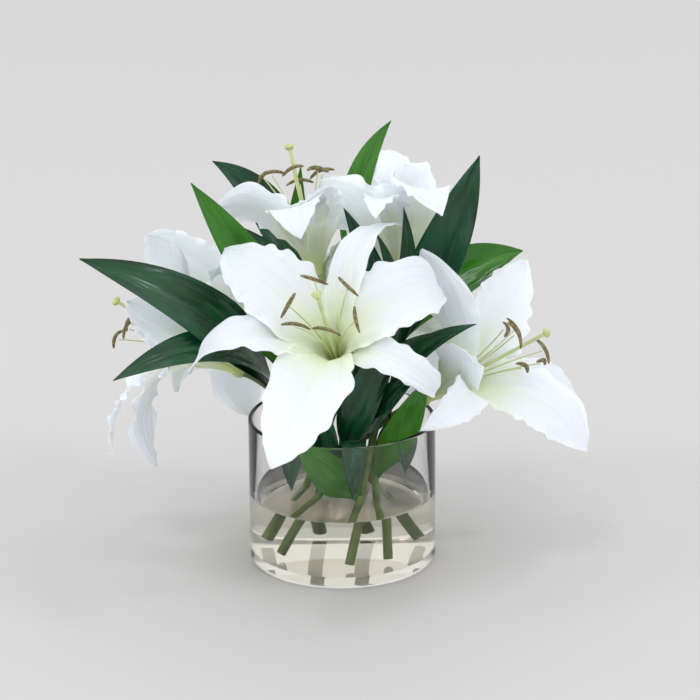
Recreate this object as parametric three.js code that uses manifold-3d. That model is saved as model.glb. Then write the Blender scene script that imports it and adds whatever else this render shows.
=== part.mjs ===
// Lilies in a vase: seven open lilies on leafy stems, standing in water in a clear glass cylinder.
// Millimetres, +Z up, origin at the middle of the vase's flat bottom. The front looks along -Y.

import * as THREE from 'three';
import { mergeVertices } from 'three/addons/utils/BufferGeometryUtils.js';
import Module from 'manifold-3d';

const wasm = await Module();
wasm.setup();

// ---- driving dimensions ----

const GAP = 0.3;

const VASE_RADIUS = 75;
const VASE_HEIGHT = 120;
const WALL = 3.6;
const FLOOR = 9;
const HEEL = 5;
const INNER_HEEL = 4;
const VASE_SIDES = 36;
const WATER_LEVEL = 55.5;

const STEM_RADIUS = 3.2;
const STEM_HOLE = 0.45;
const STEM_SIDES = 6;
const STEM_STEPS = 7;
const STEM_FOOT = 13;
const FOOT_RING = 45;
const WAIST_RING = 24;
const WAIST_HEIGHT = 100;
const NECK = 45;

const RECEPTACLE_RADIUS = 6.8;
const RECEPTACLE_BELOW = 6;
const RECEPTACLE_ABOVE = 6.5;
const THROAT = 4;
const PETAL_THICK = 0.9;
const SPINE_STEPS = 60;

const LEAF_THICK = 1;
const LEAF_ROWS = 5;
const LEAF_FOLD = 0.28;
const LEAF_ROOT = 0.24;
const LEAF_PEAK = 0.42;

const STAMENS = 6;
const PUCK_RADIUS = 3.4;
const PUCK_HEIGHT = 2;
const FILAMENT_RADIUS = 0.8;
const FILAMENT_RING = 2.3;
const FILAMENT_REACH = 92;
const FILAMENT_SPREAD = 23;
const ANTHER_LENGTH = 24;
const ANTHER_RADIUS = 1.7;
const PISTIL_RADIUS = 1.4;
const PISTIL_LENGTH = 112;
const STIGMA_RADIUS = 3.8;

// Angles are in degrees. A petal starts at splay from the bloom's axis, flares to open and then curls on.
// half is half its breadth, cup bends it across, sway leads it sideways and twist turns its face.
const INNER_PETAL = {
  length: 155, half: 31, splay: 14, open: 65, curl: 45, sway: 0, twist: 0, rows: 7, cells: 4,
  cup: 62, tipCup: 14, root: 0.15, peak: 0.46, wave: 3, cycles: 2.2, groove: 1.6, offset: 0, turn: 0,
};
const OUTER_PETAL = {
  length: 150, half: 17, splay: 17, open: 70, curl: 70, sway: 0, twist: 0, rows: 7, cells: 2,
  cup: 40, tipCup: 16, root: 0.2, peak: 0.45, wave: 2.2, cycles: 2.6, groove: 1.4, offset: 2, turn: 0,
};
const BACK_PETAL = { open: 60, curl: 95, length: 120, rows: 5 };
const SHORT_PETAL = { open: 80, curl: 50, length: 75, half: 22, rows: 4 };

// Each bloom: bearings of its stem's foot and waist, base and aim of its axis, and its petals in turn,
// inner and outer by turns, 60 degrees apart from roll on, counted from the side that up points to.
// stamens is the share of their full length that they have, where it is less.
const BLOOMS = [
  {
    name: 'front', foot: 154, waist: 212, roll: 50,
    base: [-2, -50, 182], aim: [-14, -67, 73], up: [0, 0, 1],
    petals: [
      { turn: 10, open: 75, curl: 50, sway: -10 },
      { turn: -20, open: 70, curl: 85, length: 158, sway: 25, half: 19, twist: 20 },
      { turn: 5, open: 90, curl: -10, sway: -10, half: 33 },
      { turn: 15, open: 85, curl: 115, sway: 10, half: 15 },
      { turn: 5, open: 90, curl: 85, sway: 25, half: 32 },
      { turn: 14, open: 75, curl: 80, length: 160, sway: -35, half: 14 },
    ],
  },
  {
    name: 'right', foot: 204, waist: 262, roll: -40,
    base: [67, 0, 135], aim: [86, -9, 51], up: [0, 0, 1],
    petals: [
      { turn: -15, open: 50, curl: 15, sway: -20, twist: -30 },
      { turn: -10, open: 75, curl: 10, length: 140, half: 27, twist: 90 },
      { turn: -30, open: 60, curl: 20, length: 90, half: 26, twist: 60 },
      { turn: -45, open: 100, curl: 35, length: 140, sway: -15, twist: 20 },
      { turn: -5, open: 60, curl: 35, length: 160, sway: 5, half: 30, twist: 50 },
      { turn: -30, open: 55, curl: 50, length: 170, sway: -5, half: 14, twist: 20 },
    ],
  },
  {
    name: 'top_right', foot: 276, waist: -26, roll: 15,
    base: [49, 35, 221], aim: [8, 59, 80], up: [0, -1, 0], stamens: 0.63,
    petals: [
      { turn: -20, open: 75, curl: 85, length: 145, sway: 25, half: 26 },
      { turn: 50, open: 20, curl: 30, length: 140, sway: 45 },
      { turn: 25, open: 15, curl: 50, length: 155, sway: 15, half: 22 },
      { open: 20, curl: 40, length: 170, sway: -5, half: 22 },
      { turn: 35, open: 50, curl: 0, length: 110, sway: -30, half: 30, twist: 45 },
      { turn: 20, open: 90, curl: 55, length: 140, sway: 15 },
    ],
  },
  {
    name: 'back_right', foot: -46, waist: 12, roll: 50,
    base: [36, 80, 173], aim: [38, 92, 0], up: [0, 0, 1],
    petals: [{ curl: 65, length: 110 }, BACK_PETAL, BACK_PETAL, BACK_PETAL, BACK_PETAL, BACK_PETAL],
  },
  {
    name: 'back_left', foot: 75, waist: 105, roll: -60,
    base: [-54, 68, 157], aim: [-51, 85, 13], up: [0, 0, 1],
    petals: [{ turn: 15, length: 160 }, BACK_PETAL, BACK_PETAL, BACK_PETAL, BACK_PETAL, BACK_PETAL],
  },
  {
    name: 'top_left', foot: 20, waist: 100, roll: 30,
    base: [-18, 42, 223], aim: [-20, 55, 81], up: [0, -1, 0],
    petals: [
      { open: 60, curl: 30, length: 95, half: 23, sway: -10 },
      { ...SHORT_PETAL, turn: 30, open: 90, half: 15, length: 60 },
      { ...SHORT_PETAL, length: 50 },
      { ...SHORT_PETAL, open: 90, half: 12, length: 50 },
      { turn: 15, open: 50, curl: 60, length: 120, sway: 45, twist: 25 },
      { turn: 28, open: 98, curl: 55, length: 140, sway: 5, half: 25, cup: 35 },
    ],
  },
  {
    name: 'left', foot: 104, waist: 162, roll: -60,
    base: [-83, 28, 151], aim: [-87, 11, 48], up: [0, 0, 1],
    petals: [
      { turn: -10, open: 40, curl: 20, length: 135, sway: 5, half: 20 },
      { turn: -15, open: 60, curl: -10, length: 145, sway: -20 },
      { turn: -25, open: 60, curl: 90, length: 115, half: 26 },
      { turn: 35, curl: 50, length: 165, sway: 25, half: 13 },
      { open: 90, curl: 55, length: 150, half: 20, twist: 35 },
      { turn: 25, open: 85, curl: 10, length: 140, sway: 20 },
    ],
  },
];

// Each leaf: its stem and the share of it where the leaf leaves, a place halfway, its tip, and its aim.
const LEAVES = [
  { stem: 'left', at: 0.8, mid: [-138, -52, 243], tip: [-201, -60, 273], half: 24, face: [1, -7, 7] },
  { stem: 'left', at: 0.75, mid: [-122, -64, 198], tip: [-177, -74, 178], half: 18, face: [-1, -6, 7] },
  { stem: 'left', at: 0.22, mid: [-33, 26, 83], tip: [-39, 34, 104], half: 10, face: [-3, -9, 3] },
  { stem: 'left', at: 0.65, mid: [-60, -28, 186], tip: [-79, -32, 200], half: 9, face: [0, -6, 8] },
  { stem: 'back_left', at: 0.88, mid: [-76, 108, 282], tip: [-103, 102, 303], half: 16, face: [2, -9, 3], peak: 0.6 },
  { stem: 'back_left', at: 0.82, mid: [-36, 134, 235], tip: [-32, 144, 286], half: 12, face: [0, -9, 5] },
  { stem: 'top_left', at: 0.8, mid: [-57, 24, 252], tip: [-79, 20, 273], half: 9, face: [2, -6, 8] },
  { stem: 'top_left', at: 0.22, mid: [7, 16, 102], tip: [0, 4, 136], half: 11, face: [0, -9, 3] },
  { stem: 'front', at: 0.7, mid: [-93, 2, 278], tip: [-116, -3, 316], half: 20, face: [2, -8, 6] },
  { stem: 'front', at: 0.75, mid: [39, -8, 246], tip: [28, -8, 276], half: 8, face: [2, -9, 4] },
  { stem: 'front', at: 0.7, mid: [27, -4, 239], tip: [20, -4, 266], half: 13, face: [2, -9, 4] },
  { stem: 'front', at: 0.6, mid: [-61, -38, 221], tip: [-84, -40, 238], half: 10, face: [0, -6, 8] },
  { stem: 'front', at: 0.35, mid: [-36, -36, 108], tip: [-40, -42, 72], half: 10, face: [-2, -9, 3] },
  { stem: 'back_right', at: 0.92, mid: [19, 112, 290], tip: [42, 115, 332], half: 12, face: [-3, -8, 6], peak: 0.62 },
  { stem: 'back_right', at: 0.6, mid: [106, 74, 220], tip: [148, 79, 232], half: 21, face: [-2, -8, 5], peak: 0.6 },
  { stem: 'back_right', at: 0.22, mid: [43, -23, 107], tip: [68, -40, 165], half: 14, face: [2, -9, 4] },
  { stem: 'back_right', at: 0.25, mid: [39, 15, 93], tip: [55, 15, 114], half: 10, face: [3, -9, 3] },
  { stem: 'back_right', at: 0.3, mid: [49, -15, 112], tip: [50, -24, 78], half: 10, face: [2, -9, 3] },
  { stem: 'top_right', at: 0.8, mid: [13, 30, 264], tip: [3, 29, 285], half: 9, face: [0, -9, 5] },
  { stem: 'top_right', at: 0.7, mid: [92, 20, 277], tip: [110, 12, 332], half: 20, face: [-1, -9, 4] },
  { stem: 'top_right', at: 0.6, mid: [54, -4, 248], tip: [50, -6, 296], half: 9, face: [-2, -9, 4] },
  { stem: 'top_right', at: 0.18, mid: [-11, -46, 90], tip: [-36, -50, 118], half: 16, face: [-3, -9, 4] },
  { stem: 'right', at: 0.78, mid: [71, -64, 202], tip: [104, -92, 228], half: 11, face: [-2, -6, 6] },
  { stem: 'right', at: 0.6, mid: [52, -40, 190], tip: [74, -44, 205], half: 12, face: [-3, -6, 7] },
  { stem: 'right', at: 0.38, mid: [35, -34, 187], tip: [50, -36, 219], half: 14, face: [0, -8, 6] },
  { stem: 'right', at: 0.2, mid: [-18, -38, 132], tip: [-34, -42, 168], half: 12, face: [-2, -9, 3] },
  { stem: 'right', at: 0.45, mid: [9, -42, 110], tip: [8, -46, 66], half: 10, face: [1, -9, 3] },
  { stem: 'right', at: 0.5, mid: [48, -36, 158], tip: [68, -42, 179], half: 11, face: [-3, -7, 7] },
];

// ---- small helpers ----

const radians = THREE.MathUtils.degToRad;
const vector = (list) => new THREE.Vector3(...list);
const blend = (a, b, share) => a + (b - a) * share;
const mixed = (...parts) => parts.reduce((sum, [v, scale]) => sum.addScaledVector(v, scale), vector([0, 0, 0]));

function smooth(x) {
  const t = THREE.MathUtils.clamp(x, 0, 1);
  return t * t * (3 - 2 * t);
}

function turned(angle, along, across) {
  return mixed([along, Math.cos(angle)], [across, Math.sin(angle)]);
}

function squareTo(axis, leaning) {
  return leaning.clone().addScaledVector(axis, -leaning.dot(axis)).normalize();
}

function seededRandom(seed) {
  let state = seed;
  return () => {
    state = (state * 48271) % 2147483647;
    return state / 2147483647;
  };
}

// ---- solids ----

function solid(geometry) {
  geometry.deleteAttribute('normal');
  geometry.deleteAttribute('uv');
  const merged = mergeVertices(geometry, 1e-4);
  const vertProperties = new Float32Array(merged.attributes.position.array);
  const triVerts = new Uint32Array(merged.index.array);
  return new wasm.Manifold(new wasm.Mesh({ numProp: 3, vertProperties, triVerts }));
}

function fused(solids) {
  return solids.reduce((sum, piece) => sum.add(piece));
}

// The largest shell alone: hollows that the fusing sealed are filled and loose scraps dropped.
function outerShell(body) {
  return body.decompose().reduce((best, piece) => (piece.volume() > best.volume() ? piece : best));
}

function node(name, body, material) {
  const { vertProperties, triVerts } = body.getMesh();
  const geometry = new THREE.BufferGeometry();
  geometry.setAttribute('position', new THREE.BufferAttribute(new Float32Array(vertProperties), 3));
  geometry.setIndex(new THREE.BufferAttribute(new Uint32Array(triVerts), 1));
  geometry.computeVertexNormals();
  const mesh = new THREE.Mesh(geometry, material);
  mesh.name = name;
  return mesh;
}

function tube(curve, radius, sides, steps) {
  const ring = new THREE.Shape();
  for (let i = 0; i < sides; i += 1) {
    const angle = (2 * Math.PI * i) / sides;
    ring[i ? 'lineTo' : 'moveTo'](radius * Math.cos(angle), radius * Math.sin(angle));
  }
  return solid(new THREE.ExtrudeGeometry(ring, { steps, extrudePath: curve, bevelEnabled: false }));
}

// A closed thin blade: rows of places { point, normal }, thickened to both sides alike.
function blade(rows, thickness) {
  const across = rows[0].length;
  const positions = [];
  for (const side of [0.5, -0.5]) {
    for (const place of rows.flat()) {
      positions.push(...mixed([place.point, 1], [place.normal, side * thickness]).toArray());
    }
  }
  const under = rows.length * across;
  const faces = [];
  const quad = (a, b, c, d) => faces.push(a, b, c, a, c, d);
  for (let i = 0; i + 1 < rows.length; i += 1) {
    for (let j = 0; j + 1 < across; j += 1) {
      const a = i * across + j;
      const b = a + across;
      faces.push(a, b, b + 1, a, b + 1, a + 1);
      faces.push(under + a, under + b + 1, under + b, under + a, under + a + 1, under + b + 1);
    }
    const left = i * across;
    const right = left + across - 1;
    quad(left, under + left, under + left + across, left + across);
    quad(right + across, under + right + across, under + right, right);
  }
  for (let j = 0; j + 1 < across; j += 1) {
    const last = under - across + j;
    quad(j + 1, under + j + 1, under + j, j);
    quad(last, under + last, under + last + 1, last + 1);
  }
  const geometry = new THREE.BufferGeometry();
  geometry.setAttribute('position', new THREE.Float32BufferAttribute(positions, 3));
  geometry.setIndex(faces);
  return solid(geometry);
}

// ---- vase and water ----

function arc(centreR, centreZ, radius, from, to, steps) {
  const points = [];
  for (let i = 0; i <= steps; i += 1) {
    const angle = radians(blend(from, to, i / steps));
    points.push(new THREE.Vector2(centreR + radius * Math.cos(angle), centreZ + radius * Math.sin(angle)));
  }
  return points;
}

// A lathe turns its profile about Y, so it is stood up along Z here.
function lathed(profile) {
  return solid(new THREE.LatheGeometry(profile, VASE_SIDES).rotateX(Math.PI / 2));
}

const onAxis = (z) => new THREE.Vector2(0, z);
const INSIDE = VASE_RADIUS - WALL;

function vase() {
  const profile = [
    onAxis(0),
    ...arc(VASE_RADIUS - HEEL, HEEL, HEEL, -90, 0, 3),
    ...arc(VASE_RADIUS - WALL / 2, VASE_HEIGHT - WALL / 2, WALL / 2, 0, 180, 3),
    ...arc(INSIDE - INNER_HEEL, FLOOR + INNER_HEEL, INNER_HEEL, 0, -90, 2),
    onAxis(FLOOR),
  ];
  return lathed(profile);
}

function water(curves) {
  const profile = [
    onAxis(FLOOR + GAP),
    ...arc(INSIDE - INNER_HEEL, FLOOR + INNER_HEEL, INNER_HEEL - GAP, -90, 0, 2),
    new THREE.Vector2(INSIDE - GAP, WATER_LEVEL),
    onAxis(WATER_LEVEL),
  ];
  const body = lathed(profile);
  return curves.reduce((rest, curve) => rest.subtract(stemHole(curve)), body);
}

// A plain hole round a stem, a little longer than the stem at its foot.
function stemHole(curve) {
  const down = curve.getTangent(0).multiplyScalar(-STEM_HOLE);
  const longer = new THREE.CubicBezierCurve3(curve.v0.clone().add(down), curve.v1, curve.v2, curve.v3);
  return tube(longer, STEM_RADIUS + STEM_HOLE, STEM_SIDES, STEM_STEPS);
}

// ---- leafy stems ----

// The stems cross the bunch in a spiral: each foot stands across the waist from its bloom.
function stemCurve(bloom) {
  const axis = vector(bloom.aim).normalize();
  const foot = radians(bloom.foot);
  const waist = radians(bloom.waist);
  const start = vector([FOOT_RING * Math.cos(foot), FOOT_RING * Math.sin(foot), STEM_FOOT]);
  const middle = vector([WAIST_RING * Math.cos(waist), WAIST_RING * Math.sin(waist), WAIST_HEIGHT]);
  const end = vector(bloom.base).addScaledVector(axis, -RECEPTACLE_BELOW - GAP);
  const neck = end.clone().addScaledVector(axis, -NECK);
  return new THREE.CubicBezierCurve3(start, middle, neck, end);
}

function breadth(u, peak, root) {
  if (u < peak) return root + (1 - root) * smooth(u / peak);
  return Math.max(1 - ((u - peak) / (1 - peak)) ** 2, 0.02);
}

// A leaf arches from its root in the stem through mid to tip, folded a little along its rib.
function leaf(curve, { at, mid, tip, half, face, peak = LEAF_PEAK }) {
  const root = curve.getPoint(at);
  const end = vector(tip);
  const before = root.distanceTo(vector(mid));
  const share = before / (before + end.distanceTo(vector(mid)));
  const pull = 1 / (2 * share * (1 - share));
  const control = mixed([vector(mid), pull], [root, -pull * (1 - share) ** 2], [end, -pull * share ** 2]);
  const rib = new THREE.QuadraticBezierCurve3(root, control, end);
  const rows = [];
  for (let i = 0; i <= LEAF_ROWS; i += 1) {
    const u = i / LEAF_ROWS;
    const normal = squareTo(rib.getTangentAt(u), vector(face));
    const side = normal.clone().cross(rib.getTangentAt(u));
    const width = half * breadth(u, peak, LEAF_ROOT);
    const place = (v) => mixed([rib.getPointAt(u), 1], [side, v * width], [normal, Math.abs(v) * LEAF_FOLD * width]);
    rows.push([-1, 0, 1].map((v) => ({ point: place(v), normal })));
  }
  return blade(rows, LEAF_THICK);
}

function leafyStem(name, curve) {
  const leaves = LEAVES.filter((item) => item.stem === name).map((item) => leaf(curve, item));
  return outerShell(fused([tube(curve, STEM_RADIUS, STEM_SIDES, STEM_STEPS), ...leaves]));
}

// ---- blooms ----

function bloomFrame(bloom) {
  const axis = vector(bloom.aim).normalize();
  const up = squareTo(axis, vector(bloom.up));
  return { base: vector(bloom.base), axis, up, side: axis.clone().cross(up) };
}

// The midrib's heading, its sideways direction and its face at share u of the petal's length.
function petalDirections(petal, axis, inward, u) {
  const flare = (petal.open - petal.splay) * smooth((u - 0.08) / 0.5);
  const pitch = radians(petal.splay + flare + petal.curl * smooth((u - 0.45) / 0.55));
  const sideways = inward.clone().cross(axis);
  const out = turned(pitch, axis, inward.clone().negate());
  const face = turned(pitch, inward, axis);
  const lead = turned(radians(petal.sway) * u, out, sideways);
  const flank = turned(radians(petal.sway) * u, sideways, out.clone().negate());
  const twist = radians(petal.twist) * u;
  return { lead, side: turned(twist, flank, face), normal: turned(twist, face, flank.clone().negate()) };
}

function petalSpine(petal, origin, axis, inward) {
  const points = [origin.clone()];
  for (let i = 0; i < SPINE_STEPS; i += 1) {
    const { lead } = petalDirections(petal, axis, inward, (i + 0.5) / SPINE_STEPS);
    points.push(points[i].clone().addScaledVector(lead, petal.length / SPINE_STEPS));
  }
  return points;
}

// One place on a petal: u runs from root to tip, v from edge to edge.
function petalPlace(petal, spine, directions, u, v) {
  const step = Math.min(Math.floor(u * SPINE_STEPS), SPINE_STEPS - 1);
  const middle = spine[step].clone().lerp(spine[step + 1], u * SPINE_STEPS - step);
  const width = petal.half * breadth(u, petal.peak, petal.root);
  const bend = radians(blend(petal.cup, petal.tipCup, smooth(u / 0.55)));
  const across = (width * Math.sin(bend * v)) / bend;
  const phase = petal.phase + (v > 0 ? 1.9 : 0);
  const ripple = petal.wave * v * v * Math.sin(2 * Math.PI * petal.cycles * u + phase);
  const groove = petal.groove * Math.exp(-((v / 0.18) ** 2)) * smooth(u / 0.15) * (1 - u);
  const rise = (width * (1 - Math.cos(bend * v))) / bend + ripple * smooth(u / 0.3) * (1 - 0.5 * u) - groove;
  return {
    point: mixed([middle, 1], [directions.side, across], [directions.normal, rise]),
    normal: turned(bend * v, directions.normal, directions.side.clone().negate()),
  };
}

function petalSolid(petal, frame, index, roll) {
  const angle = radians(roll + 60 * index + petal.turn);
  const outward = turned(angle, frame.up, frame.side);
  const inward = outward.clone().negate();
  const origin = frame.base.clone().addScaledVector(outward, THROAT + petal.offset);
  const spine = petalSpine(petal, origin, frame.axis, inward);
  const rows = [];
  for (let i = 0; i <= petal.rows; i += 1) {
    const u = i / petal.rows;
    const directions = petalDirections(petal, frame.axis, inward, u);
    const row = [];
    for (let j = 0; j <= petal.cells; j += 1) {
      row.push(petalPlace(petal, spine, directions, u, (2 * j) / petal.cells - 1));
    }
    rows.push(row);
  }
  return blade(rows, PETAL_THICK);
}

function straightUp(frame, from, to) {
  return new THREE.LineCurve3(mixed([frame.base, 1], [frame.axis, from]), mixed([frame.base, 1], [frame.axis, to]));
}

function bloomBody(bloom) {
  const frame = bloomFrame(bloom);
  const petals = bloom.petals.map((own, index) => {
    const kind = index % 2 ? OUTER_PETAL : INNER_PETAL;
    return petalSolid({ ...kind, phase: 1.7 * index, ...own }, frame, index, bloom.roll);
  });
  const receptacle = tube(straightUp(frame, -RECEPTACLE_BELOW, RECEPTACLE_ABOVE), RECEPTACLE_RADIUS, 8, 1);
  return outerShell(fused([receptacle, ...petals]));
}

// ---- stamens and pistil ----

// A filament leaves the puck near the axis, bends outward and carries a curved anther across its end.
function stamen(frame, size, angle, random) {
  const outward = turned(angle, frame.up, frame.side);
  const across = frame.axis.clone().cross(outward);
  const reach = size * FILAMENT_REACH * blend(0.9, 1.05, random());
  const spread = size * FILAMENT_SPREAD * blend(0.8, 1.25, random());
  const at = (up, out, along) => mixed([frame.base, 1], [frame.axis, up], [outward, out], [across, along]);
  const foot = RECEPTACLE_ABOVE + GAP + PUCK_HEIGHT / 2;
  const end = at(reach, spread, 0);
  const filament = new THREE.QuadraticBezierCurve3(at(foot, FILAMENT_RING, 0), at(reach * 0.6, spread * 0.25, 0), end);
  const lean = radians(blend(-40, 40, random()));
  const half = turned(lean, across, outward).multiplyScalar(ANTHER_LENGTH / 2);
  const bow = mixed([end, 1], [frame.axis, ANTHER_LENGTH * 0.3], [outward, -ANTHER_LENGTH * 0.1]);
  const anther = new THREE.QuadraticBezierCurve3(end.clone().sub(half), bow, end.clone().add(half));
  return [tube(filament, FILAMENT_RADIUS, 3, 4), tube(anther, ANTHER_RADIUS, 4, 3)];
}

function stamensBody(bloom, seed) {
  const frame = bloomFrame(bloom);
  const size = bloom.stamens ?? 1;
  const random = seededRandom(seed);
  const puckFoot = RECEPTACLE_ABOVE + GAP;
  const top = size * PISTIL_LENGTH;
  const puck = tube(straightUp(frame, puckFoot, puckFoot + PUCK_HEIGHT), PUCK_RADIUS, 8, 1);
  const pistil = tube(straightUp(frame, puckFoot + PUCK_HEIGHT / 2, top), PISTIL_RADIUS, 6, 1);
  const knob = new THREE.SphereGeometry(STIGMA_RADIUS, 7, 4);
  knob.translate(...mixed([frame.base, 1], [frame.axis, top]).toArray());
  const pieces = [puck, pistil, solid(knob)];
  for (let i = 0; i < STAMENS; i += 1) {
    pieces.push(...stamen(frame, size, radians(bloom.roll + 30 + 60 * i), random));
  }
  return outerShell(fused(pieces));
}

// ---- the bunch ----

const material = (color, roughness) => new THREE.MeshStandardMaterial({ color, roughness, metalness: 0 });

const group = new THREE.Group();
const curves = BLOOMS.map(stemCurve);
group.add(node('vase', vase(), material('#dfe6e4', 0.05)));
group.add(node('water', water(curves), material('#cdd0c6', 0.05)));
BLOOMS.forEach((bloom, index) => {
  group.add(node(`stem_${bloom.name}`, leafyStem(bloom.name, curves[index]), material('#2f6b35', 0.4)));
  group.add(node(`bloom_${bloom.name}`, bloomBody(bloom), material('#f2f4f8', 0.6)));
  group.add(node(`stamens_${bloom.name}`, stamensBody(bloom, 11 + index), material('#b9ba6c', 0.6)));
});

export default group;
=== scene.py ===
"""Lilies in a vase: seven white lilies on leafy stems, standing in water in a clear glass cylinder.

Sizes are in millimetres and become metres where a mesh is made. The vase's flat bottom is centred on the
origin, +Z is up and the front faces -Y.
"""

import logging
import math
from dataclasses import dataclass, field, replace
from enum import Enum

import bpy
import numpy as np
from mathutils import Euler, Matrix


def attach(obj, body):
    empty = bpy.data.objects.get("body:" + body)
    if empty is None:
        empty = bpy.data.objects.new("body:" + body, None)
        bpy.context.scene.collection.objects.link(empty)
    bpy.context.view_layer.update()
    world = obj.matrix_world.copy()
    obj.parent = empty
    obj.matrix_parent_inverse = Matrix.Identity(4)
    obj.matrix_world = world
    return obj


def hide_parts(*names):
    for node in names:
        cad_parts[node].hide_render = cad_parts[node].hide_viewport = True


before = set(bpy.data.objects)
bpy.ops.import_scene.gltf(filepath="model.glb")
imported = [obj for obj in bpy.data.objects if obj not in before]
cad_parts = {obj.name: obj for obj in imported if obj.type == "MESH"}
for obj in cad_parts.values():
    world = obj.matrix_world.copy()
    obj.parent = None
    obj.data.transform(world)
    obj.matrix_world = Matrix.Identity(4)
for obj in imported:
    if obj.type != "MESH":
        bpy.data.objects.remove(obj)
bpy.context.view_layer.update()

log = logging.getLogger("lilies")

# Blender's metres to a millimetre, and the clearance between a stem's end and its bloom's seat.
MM = 0.001
GAP = 0.3
# Share of its breadth that a blade keeps at the very tip, and the fine steps that a curve is measured by.
TIP_SHARE = 0.02
FINE_STEPS = 120
# Where a rod's first side points: a way that no rod runs along. Then how deep a lobed rod's furrows are.
ODD_WAY = np.array([0.31, 0.77, -0.55])
LOBE_DEPTH = 0.13
Place = tuple[float, float, float]
Colour = tuple[float, float, float]


# ---- small sums ----


def smooth(x: float) -> float:
    """Eases from 0 to 1 as x does, and holds outside that."""
    t = min(max(x, 0.0), 1.0)
    return t * t * (3 - 2 * t)


def blend(a: float, b: float, share: float) -> float:
    """Goes straight from a to b by share."""
    return a + (b - a) * share


def unit(v: np.ndarray) -> np.ndarray:
    """Gives v the length 1."""
    return v / np.linalg.norm(v)


def turned(angle: float, along: np.ndarray, across: np.ndarray) -> np.ndarray:
    """Turns from along towards across by an angle in radians."""
    return along * math.cos(angle) + across * math.sin(angle)


def square_to(axis: np.ndarray, leaning: np.ndarray) -> np.ndarray:
    """Gives the part of leaning that is square to axis, at length 1."""
    return unit(leaning - axis * float(leaning @ axis))


def breadth(u: float, peak: float, root: float) -> float:
    """Shapes a petal or leaf.

    Args:
        u: Share of the length from the root.
        peak: Share at which it is broadest.
        root: Share of the full breadth that the root has.

    Returns:
        The share of the full breadth at u.
    """
    if u < peak:
        return root + (1 - root) * smooth(u / peak)
    return max(1 - ((u - peak) / (1 - peak)) ** 2, TIP_SHARE)


def bezier(points: list[np.ndarray], t: float) -> np.ndarray:
    """Follows a Bezier curve of any degree.

    Args:
        points: Its control points.
        t: Share of the way along it.

    Returns:
        The place at t.
    """
    row = [np.asarray(p, float) for p in points]
    while len(row) > 1:
        row = [a * (1 - t) + b * t for a, b in zip(row, row[1:])]
    return row[0]


def evenly(points: list[np.ndarray], steps: int) -> np.ndarray:
    """Walks a Bezier curve in steps of equal length.

    Args:
        points: The curve's control points.
        steps: Number of steps.

    Returns:
        The places, one more than the steps.
    """
    fine = np.array([bezier(points, t) for t in np.linspace(0, 1, FINE_STEPS)])
    run = np.concatenate([[0], np.cumsum(np.linalg.norm(np.diff(fine, axis=0), axis=1))])
    want = np.linspace(0, run[-1], steps + 1)
    return np.stack([np.interp(want, run, fine[:, k]) for k in range(3)], axis=1)


class SeededDraw:
    """Draws the same numbers from 0 to 1 on every run."""

    FACTOR = 48271
    MODULUS = 2147483647

    def __init__(self, seed: int) -> None:
        """Starts the draw at seed."""
        self.state = seed

    def __call__(self) -> float:
        """Gives the next number."""
        self.state = (self.state * self.FACTOR) % self.MODULUS
        return self.state / self.MODULUS


# ---- meshes ----


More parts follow.
